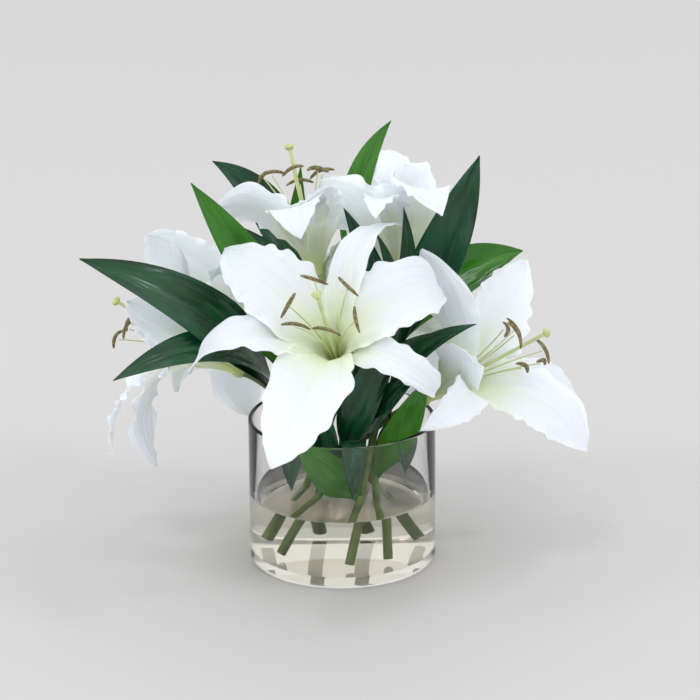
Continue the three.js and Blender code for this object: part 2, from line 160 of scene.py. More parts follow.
@dataclass
class Draft:
    """A mesh put together from closed shells. Each point keeps its place along and across its blade."""

    points: list[np.ndarray] = field(default_factory=list)
    faces: list[tuple[int, ...]] = field(default_factory=list)
    finishes: list[int] = field(default_factory=list)
    marks: list[np.ndarray] = field(default_factory=list)
    count: int = 0

    def add(
        self, points: np.ndarray, faces: list[tuple[int, ...]], marks: np.ndarray, finish: int = 0
    ) -> None:
        """Adds one closed shell.

        Args:
            points: Its places in millimetres.
            faces: Its faces, counted from its own first point.
            marks: Along, across and a number of its own, for each point.
            finish: Which of the piece's finishes it takes.
        """
        self.points.append(points)
        self.marks.append(marks)
        self.faces += [tuple(k + self.count for k in face) for face in faces]
        self.finishes += [finish] * len(faces)
        self.count += len(points)

    def blade(
        self, rows: np.ndarray, normals: np.ndarray, thickness: np.ndarray, tag: float, finish: int
    ) -> None:
        """Adds a thin closed blade.

        Args:
            rows: Places of its middle sheet, from root to tip and edge to edge.
            normals: Which way each place faces.
            thickness: Its thickness at each place.
            tag: A number of its own.
            finish: Which finish it takes.
        """
        long, wide = rows.shape[0], rows.shape[1]
        half = normals * thickness[..., None] / 2
        points = np.concatenate([(rows + half).reshape(-1, 3), (rows - half).reshape(-1, 3)])
        u, v = np.meshgrid(np.linspace(0, 1, long), np.linspace(-1, 1, wide), indexing="ij")
        mark = np.stack([u.ravel(), v.ravel(), np.full(u.size, tag)], axis=1)
        under = long * wide
        faces = []
        for i in range(long - 1):
            for j in range(wide - 1):
                a = i * wide + j
                b = a + wide
                faces.append((a, b, b + 1, a + 1))
                faces.append((under + a, under + a + 1, under + b + 1, under + b))
            left = i * wide
            right = left + wide - 1
            faces.append((left, under + left, under + left + wide, left + wide))
            faces.append((right + wide, under + right + wide, under + right, right))
        for j in range(wide - 1):
            last = under - wide + j
            faces.append((j + 1, under + j + 1, under + j, j))
            faces.append((last, under + last, under + last + 1, last + 1))
        self.add(points, faces, np.concatenate([mark, mark]), finish)

    def tube(
        self, path: np.ndarray, radii: np.ndarray, sides: int, tag: float, finish: int, lobes: int = 0
    ) -> None:
        """Adds a closed round rod along a path.

        Args:
            path: The places it runs through.
            radii: Its radius at each place.
            sides: Points around it.
            tag: A number of its own.
            finish: Which finish it takes.
            lobes: Number of shallow lobes around it.
        """
        steps = len(path)
        tangents = np.gradient(path, axis=0)
        across = square_to(unit(tangents[0]), ODD_WAY)
        points, marks = [], []
        for i in range(steps):
            lead = unit(tangents[i])
            across = square_to(lead, across)
            other = np.cross(lead, across)
            for k in range(sides):
                angle = 2 * math.pi * k / sides
                radius = radii[i] * (1 + (LOBE_DEPTH * math.cos(lobes * angle) if lobes else 0))
                points.append(path[i] + radius * turned(angle, across, other))
                marks.append((i / (steps - 1), 2 * k / sides - 1, tag))
        faces: list[tuple[int, ...]] = []
        for i in range(steps - 1):
            for k in range(sides):
                a, b = i * sides + k, i * sides + (k + 1) % sides
                faces.append((a, b, b + sides, a + sides))
        faces.append(tuple(reversed(range(sides))))
        faces.append(tuple(range((steps - 1) * sides, steps * sides)))
        self.add(np.array(points), faces, np.array(marks), finish)

    def lathe(self, profile: list[tuple[float, float]], sides: int) -> None:
        """Adds a shell turned about Z, in the first finish.

        Args:
            profile: Radius and height of each place, from the axis and back to it, outside first.
            sides: Points around it.
        """
        rings = profile[1:-1]
        points = [(0, 0, profile[0][1])]
        marks = [(0.0, 0.0, 0.0)]
        for n, (radius, height) in enumerate(rings):
            for k in range(sides):
                angle = 2 * math.pi * k / sides
                points.append((radius * math.cos(angle), radius * math.sin(angle), height))
                marks.append((n / len(rings), 2 * k / sides - 1, 0.0))
        points.append((0, 0, profile[-1][1]))
        marks.append((1.0, 0.0, 0.0))
        last = len(points) - 1
        faces: list[tuple[int, ...]] = []
        for k in range(sides):
            after = (k + 1) % sides
            faces.append((0, 1 + after, 1 + k))
            for n in range(len(rings) - 1):
                a, b = 1 + n * sides + k, 1 + n * sides + after
                faces.append((a, b, b + sides, a + sides))
            foot = 1 + (len(rings) - 1) * sides
            faces.append((foot + k, foot + after, last))
        self.add(np.array(points, float), faces, np.array(marks))

    def piece(self, name: str, finishes: list[bpy.types.Material], sharp: float = 50) -> bpy.types.Object:
        """Makes the Blender object.

        Args:
            name: Its name.
            finishes: Its materials, in the order its shells number them.
            sharp: Angle in degrees above which an edge stays crisp.

        Returns:
            The object, in metres.
        """
        mesh = bpy.data.meshes.new(name)
        mesh.from_pydata((np.concatenate(self.points) * MM).tolist(), [], self.faces)
        for finish in finishes:
            mesh.materials.append(finish)
        mesh.polygons.foreach_set("material_index", self.finishes)
        mesh.polygons.foreach_set("use_smooth", [True] * len(self.faces))
        mark = mesh.attributes.new("blade", "FLOAT_VECTOR", "POINT")
        mark.data.foreach_set("vector", np.concatenate(self.marks).astype(np.float32).ravel())
        mesh.set_sharp_from_angle(angle=math.radians(sharp))
        mesh.validate()
        thing = bpy.data.objects.new(name, mesh)
        bpy.context.scene.collection.objects.link(thing)
        return thing


def in_place(thing: bpy.types.Object, nodes: list[str]) -> None:
    """Sets a piece on the frame.

    Args:
        thing: The piece.
        nodes: The solids it stands for.
    """
    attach(thing, "root")
    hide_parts(*nodes)
    log.info("%s: %d faces", thing.name, len(thing.data.polygons))


# ---- finishes ----


class Bench:
    """A material's nodes, with short ways to add the ones used here."""

    def __init__(self, name: str) -> None:
        """Starts a material with one surface shader.

        Args:
            name: The material's name.
        """
        self.material = bpy.data.materials.new(name)
        self.material.use_nodes = True
        self.tree = self.material.node_tree
        self.tree.nodes.clear()
        self.shader = self.tree.nodes.new("ShaderNodeBsdfPrincipled")
        self.out = self.tree.nodes.new("ShaderNodeOutputMaterial")
        self.tree.links.new(self.shader.outputs["BSDF"], self.out.inputs["Surface"])

    def node(self, kind: str, **inputs: object) -> bpy.types.Node:
        """Adds a node.

        Args:
            kind: Its type.
            inputs: A socket or a value for each named input, with _ for a space.

        Returns:
            The node.
        """
        made = self.tree.nodes.new(kind)
        for key, value in inputs.items():
            self.feed(made.inputs[key.replace("_", " ")], value)
        return made

    def feed(self, socket: bpy.types.NodeSocket, value: object) -> None:
        """Links a socket to another, or sets its value.

        Args:
            socket: The socket to feed.
            value: Another socket, or a value.
        """
        if isinstance(value, bpy.types.NodeSocket):
            self.tree.links.new(value, socket)
        else:
            socket.default_value = value

    def sum(self, kind: str, a: object, b: object = 0.0) -> bpy.types.NodeSocket:
        """Adds one step of arithmetic.

        Args:
            kind: The step, such as ADD.
            a: Its first number.
            b: Its second number, where it has one.

        Returns:
            The result.
        """
        made = self.tree.nodes.new("ShaderNodeMath")
        made.operation = kind
        self.feed(made.inputs[0], a)
        self.feed(made.inputs[1], b)
        return made.outputs[0]

    def blade(self) -> tuple[bpy.types.NodeSocket, bpy.types.NodeSocket, bpy.types.NodeSocket]:
        """Reads where on its blade a point is.

        Returns:
            The place from root to tip, the place from edge to edge and the blade's own number.
        """
        mark = self.tree.nodes.new("ShaderNodeAttribute")
        mark.attribute_name = "blade"
        parts = self.node("ShaderNodeSeparateXYZ", Vector=mark.outputs["Vector"])
        return parts.outputs[0], parts.outputs[1], parts.outputs[2]

    def skin_place(self) -> bpy.types.NodeSocket:
        """Reads a point's place on the piece."""
        return self.node("ShaderNodeTexCoord").outputs["Object"]

    def grain(
        self, vector: bpy.types.NodeSocket, scale: float, detail: float = 3.0
    ) -> bpy.types.NodeSocket:
        """Adds a soft random grain from 0 to 1, finer by scale and with more fine layers by detail."""
        return self.node("ShaderNodeTexNoise", Scale=scale, Detail=detail, Vector=vector).outputs["Fac"]

    def streaks(self, along: float, across: float) -> bpy.types.NodeSocket:
        """Adds grain drawn out along a blade, as its veins are.

        Args:
            along: How often it changes from root to tip.
            across: How often it changes from edge to edge.

        Returns:
            The streaks, from 0 to 1.
        """
        u, v, tag = self.blade()
        stretched = self.sum("MULTIPLY", u, along)
        narrowed = self.sum("MULTIPLY", v, across)
        place = self.node("ShaderNodeCombineXYZ", X=stretched, Y=narrowed, Z=tag)
        return self.grain(place.outputs[0], 1.0, 2.0)

    def rib(self, v: bpy.types.NodeSocket, fineness: float) -> bpy.types.NodeSocket:
        """Marks a blade's middle line with 1, falling to 0 beside it the sooner the finer it is."""
        beside = self.sum("MULTIPLY", self.sum("ABSOLUTE", v), fineness)
        return self.sum("MAXIMUM", self.sum("SUBTRACT", 1.0, beside), 0.0)

    def ramp(self, fac: object, stops: list[tuple[float, Colour]]) -> bpy.types.NodeSocket:
        """Turns a number into a colour.

        Args:
            fac: The number.
            stops: Places from 0 to 1, each with its colour.

        Returns:
            The colour.
        """
        made = self.node("ShaderNodeValToRGB", Fac=fac)
        made.color_ramp.interpolation = "EASE"
        while len(made.color_ramp.elements) < len(stops):
            made.color_ramp.elements.new(0.5)
        for element, (place, colour) in zip(made.color_ramp.elements, stops):
            element.position = place
            element.color = (*colour, 1)
        return made.outputs["Color"]

    def mix(self, fac: object, a: object, b: object) -> bpy.types.NodeSocket:
        """Mixes two colours.

        Args:
            fac: Share of the second.
            a: The first colour.
            b: The second colour.

        Returns:
            The mixture.
        """
        made = self.tree.nodes.new("ShaderNodeMix")
        made.data_type = "RGBA"
        self.feed(made.inputs[0], fac)
        for socket, value in ((made.inputs[6], a), (made.inputs[7], b)):
            self.feed(socket, (*value, 1) if isinstance(value, tuple) else value)
        return made.outputs[2]

    def bump(self, height: object, strength: float, distance: float) -> None:
        """Raises the surface by a height; distance is in millimetres."""
        made = self.node("ShaderNodeBump", Strength=strength, Distance=distance * MM, Height=height)
        self.tree.links.new(made.outputs["Normal"], self.shader.inputs["Normal"])

    def let_lamps_through(self, tint: Colour) -> None:
        """Lets light reach what stands behind a clear wall.

        Args:
            tint: The tint it takes as it passes.
        """
        through = self.node("ShaderNodeBsdfTransparent", Color=(*tint, 1))
        either = self.tree.nodes.new("ShaderNodeMixShader")
        path = self.tree.nodes.new("ShaderNodeLightPath")
        self.tree.links.new(path.outputs["Is Shadow Ray"], either.inputs[0])
        self.tree.links.new(self.shader.outputs["BSDF"], either.inputs[1])
        self.tree.links.new(through.outputs["BSDF"], either.inputs[2])
        self.tree.links.new(either.outputs["Shader"], self.out.inputs["Surface"])

    def set(self, **values: object) -> None:
        """Sets the shader's own sockets."""
        for key, value in values.items():
            self.feed(self.shader.inputs[key.replace("_", " ")], value)


@dataclass(frozen=True)
class PetalFinish:
    """White petal, greenish yellow in the throat and along its rib. Shares are of its length."""

    white: Colour = (0.79, 0.83, 0.88)
    shade: Colour = (0.68, 0.73, 0.80)
    throat: Colour = (0.70, 0.78, 0.30)
    rib: Colour = (0.70, 0.78, 0.55)
    throat_ends: float = 0.22
    tinge: float = 0.42
    tinge_ends: float = 0.55
    rib_ends: float = 0.75
    rib_fineness: float = 5.0
    vein_tone: float = 0.5
    vein_relief: float = 0.3
    glow: float = 0.9
    glow_depth: float = 0.003

    def make(self) -> bpy.types.Material:
        """Builds the material.

        Returns:
            The material.
        """
        bench = Bench("lily_petal")
        u, v, _ = bench.blade()
        veins = bench.streaks(1.4, 11.0)
        body = bench.mix(bench.sum("MULTIPLY", veins, self.vein_tone), self.white, self.shade)
        ahead = bench.sum("SUBTRACT", self.rib_ends, u)
        rib = bench.sum("MULTIPLY", bench.rib(v, self.rib_fineness), ahead)
        body = bench.mix(bench.sum("MAXIMUM", rib, 0.0), body, self.rib)
        tinge = (self.tinge, self.tinge, self.tinge)
        deep = bench.ramp(u, [(0.0, (1, 1, 1)), (self.throat_ends, tinge), (self.tinge_ends, (0, 0, 0))])
        body = bench.mix(deep, body, self.throat)
        bench.set(Base_Color=body, Roughness=0.5, Specular_IOR_Level=0.35)
        bench.set(Subsurface_Weight=self.glow, Subsurface_Scale=self.glow_depth)
        bench.set(Subsurface_Radius=(1.0, 1.0, 0.97))
        bench.shader.subsurface_method = "BURLEY"
        folds = bench.streaks(1.8, 4.5)
        bench.bump(bench.sum("ADD", folds, bench.sum("MULTIPLY", veins, self.vein_relief)), 0.7, 2.2)
        return bench.material


class Tone(Enum):
    """Greens of the leaves: the base, and a lighter green that is painted highlight in broad patches and
    also the midrib's own lighter colour.
    """

    DARK = ((0.003, 0.040, 0.011), (0.008, 0.096, 0.036))
    FRESH = ((0.022, 0.155, 0.002), (0.044, 0.235, 0.003))


@dataclass(frozen=True)
class LeafFinish:
    """Glossy leaf with veins that run its length, and broad patches of painted highlight in its colour."""

    tone: Tone
    vein_tone: float = 0.35
    vein_relief: float = 0.06
    rib_fineness: float = 14.0
    rib_tone: float = 0.6
    polish: float = 0.14
    unevenness: float = 0.2

    def make(self) -> bpy.types.Material:
        """Builds the material.

        Returns:
            The material.
        """
        bench = Bench(f"leaf_{self.tone.name.lower()}")
        low, high = self.tone.value
        _, v, _ = bench.blade()
        veins = bench.streaks(1.1, 12.0)
        # Broad patches of painted highlight: where they rise, the colour turns to the tone's lighter green
        # as a glossy highlight would. The same patches also vary the roughness and the bump.
        painted_highlight_patches = bench.streaks(4.5, 1.8)
        body = bench.ramp(painted_highlight_patches, [(0.3, low), (0.7, high)])
        body = bench.mix(bench.sum("MULTIPLY", veins, self.vein_tone), body, low)
        rib = bench.rib(v, self.rib_fineness)
        body = bench.mix(bench.sum("MULTIPLY", rib, self.rib_tone), body, high)
        gloss = bench.sum("ADD", self.polish, bench.sum("MULTIPLY", painted_highlight_patches, self.unevenness))
        bench.set(Base_Color=body, Roughness=gloss, Specular_IOR_Level=0.5)
        bench.bump(bench.sum("ADD", painted_highlight_patches, bench.sum("MULTIPLY", veins, self.vein_relief)), 0.8, 3.0)
        return bench.material


@dataclass(frozen=True)
class SpeckledFinish:
    """A soft natural skin of two close colours."""

    name: str
    low: Colour
    high: Colour
    scale: float
    roughness: float
    relief: float

    def make(self) -> bpy.types.Material:
        """Builds the material.

        Returns:
            The material.
        """
        bench = Bench(self.name)
        grain = bench.grain(bench.skin_place(), self.scale)
        bench.set(Base_Color=bench.ramp(grain, [(0.35, self.low), (0.65, self.high)]))
        bench.set(Roughness=self.roughness)
        bench.bump(grain, 0.5, self.relief)
        return bench.material


@dataclass(frozen=True)
class ClearFinish:
    """Glass or water, with faint unevenness."""

    name: str
    tint: Colour
    bend: float
    wear: float
    ripple: float
    cloud_scale: float = 9.0
    lighter: float = 1.012

    def make(self) -> bpy.types.Material:
        """Builds the material.

        Returns:
            The material.
        """
        bench = Bench(self.name)
        cloud = bench.grain(bench.skin_place(), self.cloud_scale)
        tint = bench.mix(cloud, self.tint, tuple(min(1.0, c * self.lighter) for c in self.tint))
        bench.set(Base_Color=tint, Roughness=bench.sum("MULTIPLY", cloud, self.wear))
        bench.set(IOR=self.bend, Transmission_Weight=1.0)
        bench.bump(cloud, 0.3, self.ripple)
        bench.let_lamps_through(self.tint)
        return bench.material


# ---- vase and water ----


def arc(
    r: float, z: float, radius: float, start: float, end: float, steps: int
) -> list[tuple[float, float]]:
    """Rounds a corner of a lathe profile.

    Args:
        r: Radius of the corner's centre from the axis.
        z: Height of the corner's centre.
        radius: Radius of the rounding.
        start: Angle it starts at, in degrees.
        end: Angle it ends at, in degrees.
        steps: Number of steps.

    Returns:
        Its places.
    """
    angles = [math.radians(blend(start, end, i / steps)) for i in range(steps + 1)]
    return [(r + radius * math.cos(a), z + radius * math.sin(a)) for a in angles]


@dataclass
class Vase:
    """Short clear cylinder with a thick floor, and the water in it."""

    radius: float = 75
    height: float = 120
    wall: float = 3.6
    floor: float = 9
    heel: float = 5
    inner_heel: float = 4
    water_level: float = 55.5
    wetting: float = 0.08
    meniscus: float = 1.2
    meniscus_steps: int = 5
    sides: int = 160

    def glass(self) -> bpy.types.Object:
        """Turns the glass.

        Returns:
            The glass piece.
        """
        inside = self.radius - self.wall
        lip = self.wall / 2
        draft = Draft()
        draft.lathe(
            [
                (0, 0),
                *arc(self.radius - self.heel, self.heel, self.heel, -90, 0, 10),
                *arc(self.radius - lip, self.height - lip, lip, 0, 180, 12),
                *arc(inside - self.inner_heel, self.floor + self.inner_heel, self.inner_heel, 0, -90, 8),
                (0, self.floor),
            ],
            self.sides,
        )
        clear = ClearFinish("vase_glass", tint=(0.98, 0.99, 0.985), bend=1.3, wear=0.01, ripple=0.05)
        return draft.piece("glass_vase", [clear.make()], sharp=35)

    def water(self) -> bpy.types.Object:
        """Turns the water, which wets the glass and climbs it in steps of a millimetre at the edge.

        Returns:
            The water piece.
        """
        side = self.radius - self.wall + self.wetting
        low = self.floor - self.wetting
        turn = self.inner_heel
        steps = self.meniscus_steps
        edge = [
            (side - steps + i, self.water_level + self.meniscus * (i / steps) ** 3)
            for i in range(steps, -1, -1)
        ]
        heel = arc(side - turn, low + turn, turn, -90, 0, 8)
        draft = Draft()
        draft.lathe([(0, low), *heel, *edge, (0, self.water_level)], self.sides)
        still = ClearFinish("still_water", tint=(0.89, 0.84, 0.74), bend=1.33, wear=0.0, ripple=0.04)
        return draft.piece("still_water", [still.make()], sharp=60)

    def build(self) -> None:
        """Makes both and sets them in place."""
        in_place(self.glass(), ["vase"])
        in_place(self.water(), ["water"])


# ---- petals ----

# Degrees between a bloom's petals, the step of their waves' starts and the steps of the blades' numbers.
PETAL_STEP = 60
PETAL_PHASE = 1.7
PETAL_TAG = 3.7
LEAF_TAG = 2.3


def crimped(crimp: float, shift: np.ndarray, lead: float, finer: float, amount: float) -> np.ndarray:
    """Lays a finer wave over a frill's own.

    Args:
        crimp: How far the frill has turned.
        shift: Where each place's waves start.
        lead: How much of the shift the frill's own wave takes.
        finer: How many times finer the second wave is.
        amount: Height of the second wave as a share of the first.

    Returns:
        The height of both at each place.
    """
    return np.sin(crimp + lead * shift) + amount * np.sin(finer * crimp + shift)


@dataclass(frozen=True)
class Petal:
    """One petal. Angles are in degrees.

    It starts at splay from the bloom's axis, flares to open and then curls on. half is half its breadth,
    cup bends it across, sway leads it sideways and twist turns its face. What ends in _from, _over, _grows
    or _fades is a share of the length.
    """

    length: float = 155
    half: float = 31
    splay: float = 14
    open: float = 65
    curl: float = 45
    sway: float = 0
    twist: float = 0
    cup: float = 62
    tip_cup: float = 14
    root: float = 0.15
    peak: float = 0.46
    blunt: float = 0.84
    wave: float = 3
    cycles: float = 2.2
    groove: float = 1.6
    offset: float = 0
    turn: float = 0
    frill: float = 2.0
    frills: float = 7
    scallop: float = 0.05
    pleat: float = 0.3
    thickness: float = 0.9
    throat: float = 4
    rows: int = 64
    columns: int = 28
    flare_from: float = 0.08
    flare_over: float = 0.5
    curl_from: float = 0.45
    curl_over: float = 0.55
    cup_over: float = 0.55
    frill_grows: float = 0.2
    frill_fades: float = 0.12
    wave_grows: float = 0.3
    wave_loss: float = 0.5
    sides_apart: float = 1.9
    bunching: float = 0.045
    bunches: float = 9
    bunch_phase: float = 5
    groove_width: float = 0.18
    groove_grows: float = 0.15
    pleats: float = 2.6
    pleat_grows: float = 0.25
    edge_thinning: float = 0.4

    def headings(
        self, axis: np.ndarray, inward: np.ndarray, u: float
    ) -> tuple[np.ndarray, np.ndarray, np.ndarray]:
        """Gives the rib's heading, its sideways direction and its face.

        Args:
            axis: The bloom's axis.
            inward: The way from the petal's root to the axis.
            u: Share of the length from the root.

        Returns:
            Three directions.
        """
        flare = (self.open - self.splay) * smooth((u - self.flare_from) / self.flare_over)
        curl = self.curl * smooth((u - self.curl_from) / self.curl_over)
        pitch = math.radians(self.splay + flare + curl)
        sideways = np.cross(inward, axis)
        out = turned(pitch, axis, -inward)
        face = turned(pitch, inward, axis)
        sway = math.radians(self.sway) * u
        lead = turned(sway, out, sideways)
        flank = turned(sway, sideways, -out)
        twist = math.radians(self.twist) * u
        return lead, turned(twist, flank, face), turned(twist, face, -flank)

    def rib(self, origin: np.ndarray, axis: np.ndarray, inward: np.ndarray, steps: int = 60) -> np.ndarray:
        """Walks the petal's rib from its root.

        Args:
            origin: Where the root is.
            axis: The bloom's axis.
            inward: The way from the petal's root to the axis.
            steps: Number of equal steps.

        Returns:
            The places, one more than the steps.
        """
        places = [origin]
        for i in range(steps):
            lead = self.headings(axis, inward, (i + 0.5) / steps)[0]
            places.append(places[-1] + lead * self.length / steps)
        return np.array(places)

    def add_to(
        self,
        draft: Draft,
        base: np.ndarray,
        axis: np.ndarray,
        outward: np.ndarray,
        phase: float,
        tag: float,
    ) -> None:
        """Adds the petal to a bloom.

        Args:
            draft: The bloom's mesh.
            base: The bloom's base.
            axis: The bloom's axis.
            outward: The way the petal leans.
            phase: Where its wave starts.
            tag: A number of its own.
        """
        inward = -outward
        rib = self.rib(base + outward * (self.throat + self.offset), axis, inward)
        v = np.sin(np.linspace(-1, 1, self.columns + 1) * math.pi / 2)
        rows, normals = [], []
        shift = phase + np.where(v > 0, self.sides_apart, 0.0)
        edge = np.abs(v) ** 4
        for i in range(self.rows + 1):
            u = i / self.rows
            at = u * (len(rib) - 1)
            middle = np.array([np.interp(at, range(len(rib)), rib[:, k]) for k in range(3)])
            _, side, face = self.headings(axis, inward, u)
            fade = smooth(u / self.frill_grows) * smooth((1 - u) / self.frill_fades)
            share = breadth(u, self.peak, self.root)
            share = share**self.blunt if u > self.peak else share
            width = self.half * share
            fade = fade * share
            bunched = self.bunching * math.sin(self.bunches * u + self.bunch_phase * phase)
            crimp = 2 * math.pi * self.frills * (u + bunched)
            notch = crimped(crimp, shift, lead=2.1, finer=1.6, amount=0.5)
            width = width * (1 + self.scallop * fade * edge * notch)
            bend = math.radians(blend(self.cup, self.tip_cup, smooth(u / self.cup_over)))
            swing = np.sin(2 * math.pi * self.cycles * u + shift)
            ripple = self.wave * v**2 * swing * smooth(u / self.wave_grows) * (1 - self.wave_loss * u)
            frill = self.frill * fade * edge * crimped(crimp, shift, lead=1.3, finer=1.7, amount=0.35)
            valley = np.exp(-((v / self.groove_width) ** 2))
            groove = self.groove * valley * smooth(u / self.groove_grows) * (1 - u)
            ridges = np.cos(2 * math.pi * self.pleats * np.abs(v))
            pleats = self.pleat * share * (1 - v**2) * ridges * smooth(u / self.pleat_grows)
            rise = width * (1 - np.cos(bend * v)) / bend + ripple + frill + pleats - groove
            across = width * np.sin(bend * v) / bend
            rows.append(middle + across[:, None] * side + rise[:, None] * face)
            normals.append(np.cos(bend * v)[:, None] * face - np.sin(bend * v)[:, None] * side)
        sheet = self.thickness * (1 - self.edge_thinning * np.abs(v) ** 3)
        thin = np.broadcast_to(sheet, (self.rows + 1, len(v)))
        draft.blade(np.array(rows), np.array(normals), thin, tag, 0)


# The two kinds of petal, and what some petals change: BACK on the two blooms behind, RUFFLED for a deeper
# frill and SHORT where the blooms crowd.
INNER = Petal()
OUTER = Petal(
    length=150, half=17, splay=17, open=70, curl=70, cup=40, tip_cup=16, root=0.2, peak=0.45, wave=2.2,
    cycles=2.6, groove=1.4, offset=2, frill=1.1,
)
BACK = {"open": 60, "curl": 95, "length": 120}
RUFFLED = {"frill": 3.2, "scallop": 0.08}
SHORT = {"open": 80, "curl": 50, "length": 75, "half": 22}


# ---- stamens ----


@dataclass(frozen=True)
class Stamens:
    """Six filaments with curved anthers around a longer pistil, on a small collar.

    share scales the reach of all of them. The ranges bound what is drawn at random for each filament.
    """

    collar_radius: float = 3.4
    collar_height: float = 2
    filament_radius: float = 0.8
    ring: float = 2.3
    reach: float = 92
    spread: float = 23
    anther_length: float = 24
    anther_radius: float = 1.7
    pistil_radius: float = 1.4
    pistil_length: float = 112
    stigma_radius: float = 3.8
    foot: float = 6.8
    share: float = 1
    filaments: int = 6
    collar_foot: float = 2.6
    collar_rise: float = 0.7
    collar_lip: float = 2.4
    collar_fall: float = 0.3
    ovary_height: float = 24
    ovary_length: float = 15
    ovary_swell: float = 0.35
    stigma_flatness: float = 0.75
    reach_range: tuple[float, float] = (0.9, 1.05)
    spread_range: tuple[float, float] = (0.8, 1.25)
    tilt_range: tuple[float, float] = (-40, 40)
    filament_taper: tuple[float, float] = (1.1, 0.65)
    anther_bow: float = 0.3
    anther_lean: float = 0.1
    anther_bluntness: float = 0.35

    def build(
        self, name: str, base: np.ndarray, axis: np.ndarray, up: np.ndarray, roll: float, seed: int
    ) -> None:
        """Makes one bloom's stamens and pistil.

        Args:
            name: The bloom's name.
            base: The bloom's base.
            axis: The bloom's axis.
            up: The side its petals are counted from.
            roll: Bearing of the first petal, in degrees.
            seed: Start of the random draw.
        """
        side = np.cross(axis, up)
        draw = SeededDraw(seed)
        draft = Draft()
        tall = self.share * self.pistil_length

        def rod(heights: list[float], radii: list[float], sides: int, finish: int, lobes: int = 0) -> None:
            """Adds a straight round rod on the axis."""
            path = np.array([base + axis * h for h in heights])
            draft.tube(path, np.array(radii), sides, 0.5, finish, lobes)

        top = self.foot + self.collar_height
        collar = [self.foot, self.foot + self.collar_rise, top - self.collar_fall, top]
        rod(collar, [self.collar_foot, self.collar_radius, self.collar_radius, self.collar_lip], 20, 0)
        heights = np.linspace(self.foot + 1, tall, 16)
        ovary = [((h - self.ovary_height) / self.ovary_length) ** 2 for h in heights]
        swell = [self.pistil_radius * (1 + self.ovary_swell * math.exp(-far)) for far in ovary]
        rod(list(heights), swell, 12, 0, 3)
        rise = np.linspace(-1, 1, 13)
        knob = [self.stigma_radius * max(math.sqrt(max(1 - t * t, 0)), 0.08) for t in rise]
        rod([tall + self.stigma_flatness * self.stigma_radius * t for t in rise], knob, 24, 2, 3)
        for i in range(self.filaments):
            bearing = math.radians(roll + PETAL_STEP / 2 + PETAL_STEP * i)
            self.stamen(draft, base, axis, turned(bearing, up, side), draw, i)
        finishes = [FILAMENT.make(), ANTHER.make(), STIGMA.make()]
        in_place(draft.piece(f"stamens_of_{name}", finishes), [f"stamens_{name}"])

    def stamen(
        self,
        draft: Draft,
        base: np.ndarray,
        axis: np.ndarray,
        outward: np.ndarray,
        draw: SeededDraw,
        number: int,
    ) -> None:
        """Adds one filament and its anther.

        Args:
            draft: The set's mesh.
            base: The bloom's base.
            axis: The bloom's axis.
            outward: The way the filament leans.
            draw: The random draw.
            number: Which filament it is.
        """
        across = np.cross(axis, outward)
        reach = self.share * self.reach * blend(*self.reach_range, draw())
        spread = self.share * self.spread * blend(*self.spread_range, draw())
        end = base + axis * reach + outward * spread
        start = base + axis * (self.foot + self.collar_height / 2) + outward * self.ring
        path = evenly([start, base + axis * reach * 0.6 + outward * spread * 0.25, end], 18)
        taper = np.linspace(*self.filament_taper, len(path))
        draft.tube(path, taper * self.filament_radius, 10, number, 0)
        tilt = math.radians(blend(*self.tilt_range, draw()))
        half = turned(tilt, across, outward) * self.anther_length / 2
        lean = outward * self.anther_length * self.anther_lean
        bow = end + axis * self.anther_length * self.anther_bow - lean
        path = evenly([end - half, bow, end + half], 16)
        shares = np.linspace(0, 1, len(path))
        fat = np.array([max(math.sin(math.pi * t) ** self.anther_bluntness, 0.15) for t in shares])
        draft.tube(path, fat * self.anther_radius, 12, number, 1, 2)


# ---- blooms ----


@dataclass(frozen=True)
class Bloom:
    """One open lily on its stem, by bearings in degrees and places in millimetres.

    Its petals are inner and outer by turns, 60 degrees apart from roll on, counted from the side that up
    points to. stamens is the share of their full length that they have.
    """

    name: str
    foot: float
    waist: float
    roll: float
    base: Place
    aim: Place
    up: Place
    petals: tuple[dict[str, float], ...]
    seed: int
    stamens: float = 1
    seat_below: float = 6
    seat_above: float = 6.5
    seat_radius: float = 6.8

    @property
    def origin(self) -> np.ndarray:
        """The bloom's base."""
        return np.array(self.base, float)

    @property
    def axis(self) -> np.ndarray:
        """The way the bloom faces."""
        return unit(np.array(self.aim, float))

    @property
    def upper(self) -> np.ndarray:
        """The side its petals are counted from."""
        return square_to(self.axis, np.array(self.up, float))

    def build(self, finish: bpy.types.Material) -> None:
        """Makes the petals, the seat they grow from and the stamens.

        Args:
            finish: The petals' material.
        """
        draft = Draft()
        side = np.cross(self.axis, self.upper)
        for index, own in enumerate(self.petals):
            petal = replace(OUTER if index % 2 else INNER, **own)
            outward = turned(math.radians(self.roll + PETAL_STEP * index + petal.turn), self.upper, side)
            phase, tag = PETAL_PHASE * index, index * PETAL_TAG + self.seed
            petal.add_to(draft, self.origin, self.axis, outward, phase, tag)
        shares = np.linspace(0, 1, 14)
        heights = [blend(-self.seat_below, self.seat_above, t) for t in shares]
        path = np.array([self.origin + self.axis * height for height in heights])
        radii = [self.seat_radius * max(math.sin(math.pi * (0.22 + 0.72 * t)), 0.1) ** 0.6 for t in shares]
        draft.tube(path, np.array(radii), 24, 0.0, 1, 3)
        petals = draft.piece(f"petals_of_{self.name}", [finish, SEAT.make()])
        in_place(petals, [f"bloom_{self.name}"])
        stamens = Stamens(share=self.stamens)
        stamens.build(self.name, self.origin, self.axis, self.upper, self.roll, self.seed)


